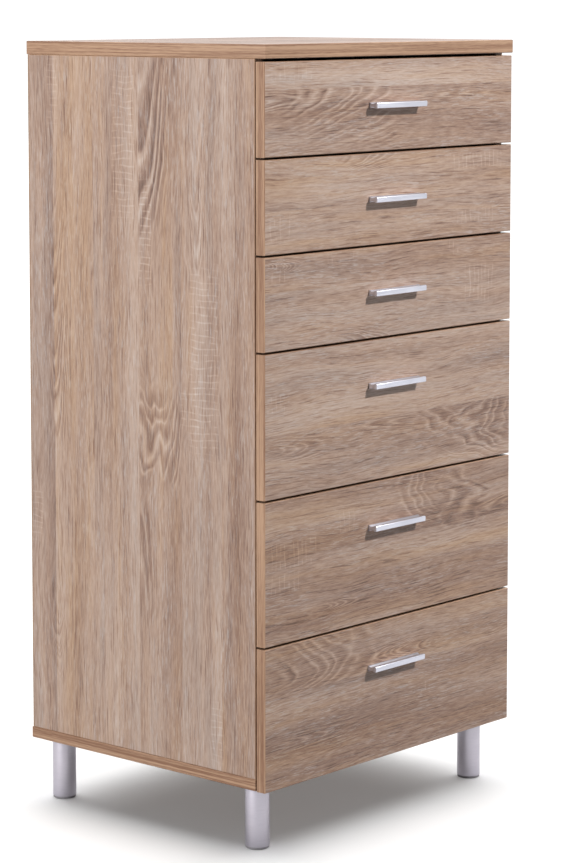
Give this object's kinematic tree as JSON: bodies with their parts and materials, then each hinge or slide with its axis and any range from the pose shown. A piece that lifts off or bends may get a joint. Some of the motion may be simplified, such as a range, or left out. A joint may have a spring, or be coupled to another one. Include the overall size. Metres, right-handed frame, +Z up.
{
  "type": "chest of drawers",
  "caption": "Tall narrow chest of drawers in oak-look board, with shallow drawers above deep ones, slim bar handles and short round silver legs.",
  "frame": {"origin": "centre of the footprint, handles included, on the floor", "axes": "+X to the right along the fronts, +Y from the handles to the back panel, +Z up"},
  "size_m": [0.544, 0.468, 1.1],
  "materials": {
    "oak_top": "pale oak-look melamine, satin, straight grain along the width",
    "oak_carcase": "grey-brown oak-look melamine with rough-sawn marks, upright grain",
    "oak_fronts": "grey-brown oak-look melamine with rough-sawn marks, level grain",
    "drawer_board": "white melamine on chipboard",
    "drawer_bottom": "hardboard lacquered white on its upper face",
    "hardboard": "raw brown hardboard",
    "runner_plastic": "pale grey moulded plastic",
    "satin_silver": "satin silver, turned",
    "handle_aluminium": "satin anodised extrusion"
  },
  "bodies": {
    "carcase": {"top_panel": "oak_top", "bottom_panel": "oak_carcase", "left_side_panel": "oak_carcase", "right_side_panel": "oak_carcase", "back_panel": "hardboard", "middle_rail": "oak_carcase", "front_left_leg": "satin_silver", "rear_left_leg": "satin_silver", "front_right_leg": "satin_silver", "rear_right_leg": "satin_silver", "runner_1_left": "runner_plastic", "runner_1_right": "runner_plastic", "runner_2_left": "runner_plastic", "runner_2_right": "runner_plastic", "runner_3_left": "runner_plastic", "runner_3_right": "runner_plastic", "runner_4_left": "runner_plastic", "runner_4_right": "runner_plastic", "runner_5_left": "runner_plastic", "runner_5_right": "runner_plastic", "runner_6_left": "runner_plastic", "runner_6_right": "runner_plastic"},
    "drawer_1": {"drawer_1_front": "oak_fronts", "drawer_1_left_side": "drawer_board", "drawer_1_right_side": "drawer_board", "drawer_1_back": "drawer_board", "drawer_1_bottom": "drawer_bottom", "drawer_1_handle": "handle_aluminium"},
    "drawer_2": {"drawer_2_front": "oak_fronts", "drawer_2_left_side": "drawer_board", "drawer_2_right_side": "drawer_board", "drawer_2_back": "drawer_board", "drawer_2_bottom": "drawer_bottom", "drawer_2_handle": "handle_aluminium"},
    "drawer_3": {"drawer_3_front": "oak_fronts", "drawer_3_left_side": "drawer_board", "drawer_3_right_side": "drawer_board", "drawer_3_back": "drawer_board", "drawer_3_bottom": "drawer_bottom", "drawer_3_handle": "handle_aluminium"},
    "drawer_4": {"drawer_4_front": "oak_fronts", "drawer_4_left_side": "drawer_board", "drawer_4_right_side": "drawer_board", "drawer_4_back": "drawer_board", "drawer_4_bottom": "drawer_bottom", "drawer_4_handle": "handle_aluminium"},
    "drawer_5": {"drawer_5_front": "oak_fronts", "drawer_5_left_side": "drawer_board", "drawer_5_right_side": "drawer_board", "drawer_5_back": "drawer_board", "drawer_5_bottom": "drawer_bottom", "drawer_5_handle": "handle_aluminium"},
    "drawer_6": {"drawer_6_front": "oak_fronts", "drawer_6_left_side": "drawer_board", "drawer_6_right_side": "drawer_board", "drawer_6_back": "drawer_board", "drawer_6_bottom": "drawer_bottom", "drawer_6_handle": "handle_aluminium"}
  },
  "joints": [
    {"name": "drawer_1_slide", "type": "slide", "parent": "carcase", "child": "drawer_1", "axis": [0, -1, 0], "range_m": [0, 0.3]},
    {"name": "drawer_2_slide", "type": "slide", "parent": "carcase", "child": "drawer_2", "axis": [0, -1, 0], "range_m": [0, 0.3]},
    {"name": "drawer_3_slide", "type": "slide", "parent": "carcase", "child": "drawer_3", "axis": [0, -1, 0], "range_m": [0, 0.3]},
    {"name": "drawer_4_slide", "type": "slide", "parent": "carcase", "child": "drawer_4", "axis": [0, -1, 0], "range_m": [0, 0.3]},
    {"name": "drawer_5_slide", "type": "slide", "parent": "carcase", "child": "drawer_5", "axis": [0, -1, 0], "range_m": [0, 0.3]},
    {"name": "drawer_6_slide", "type": "slide", "parent": "carcase", "child": "drawer_6", "axis": [0, -1, 0], "range_m": [0, 0.3]}
  ]
}
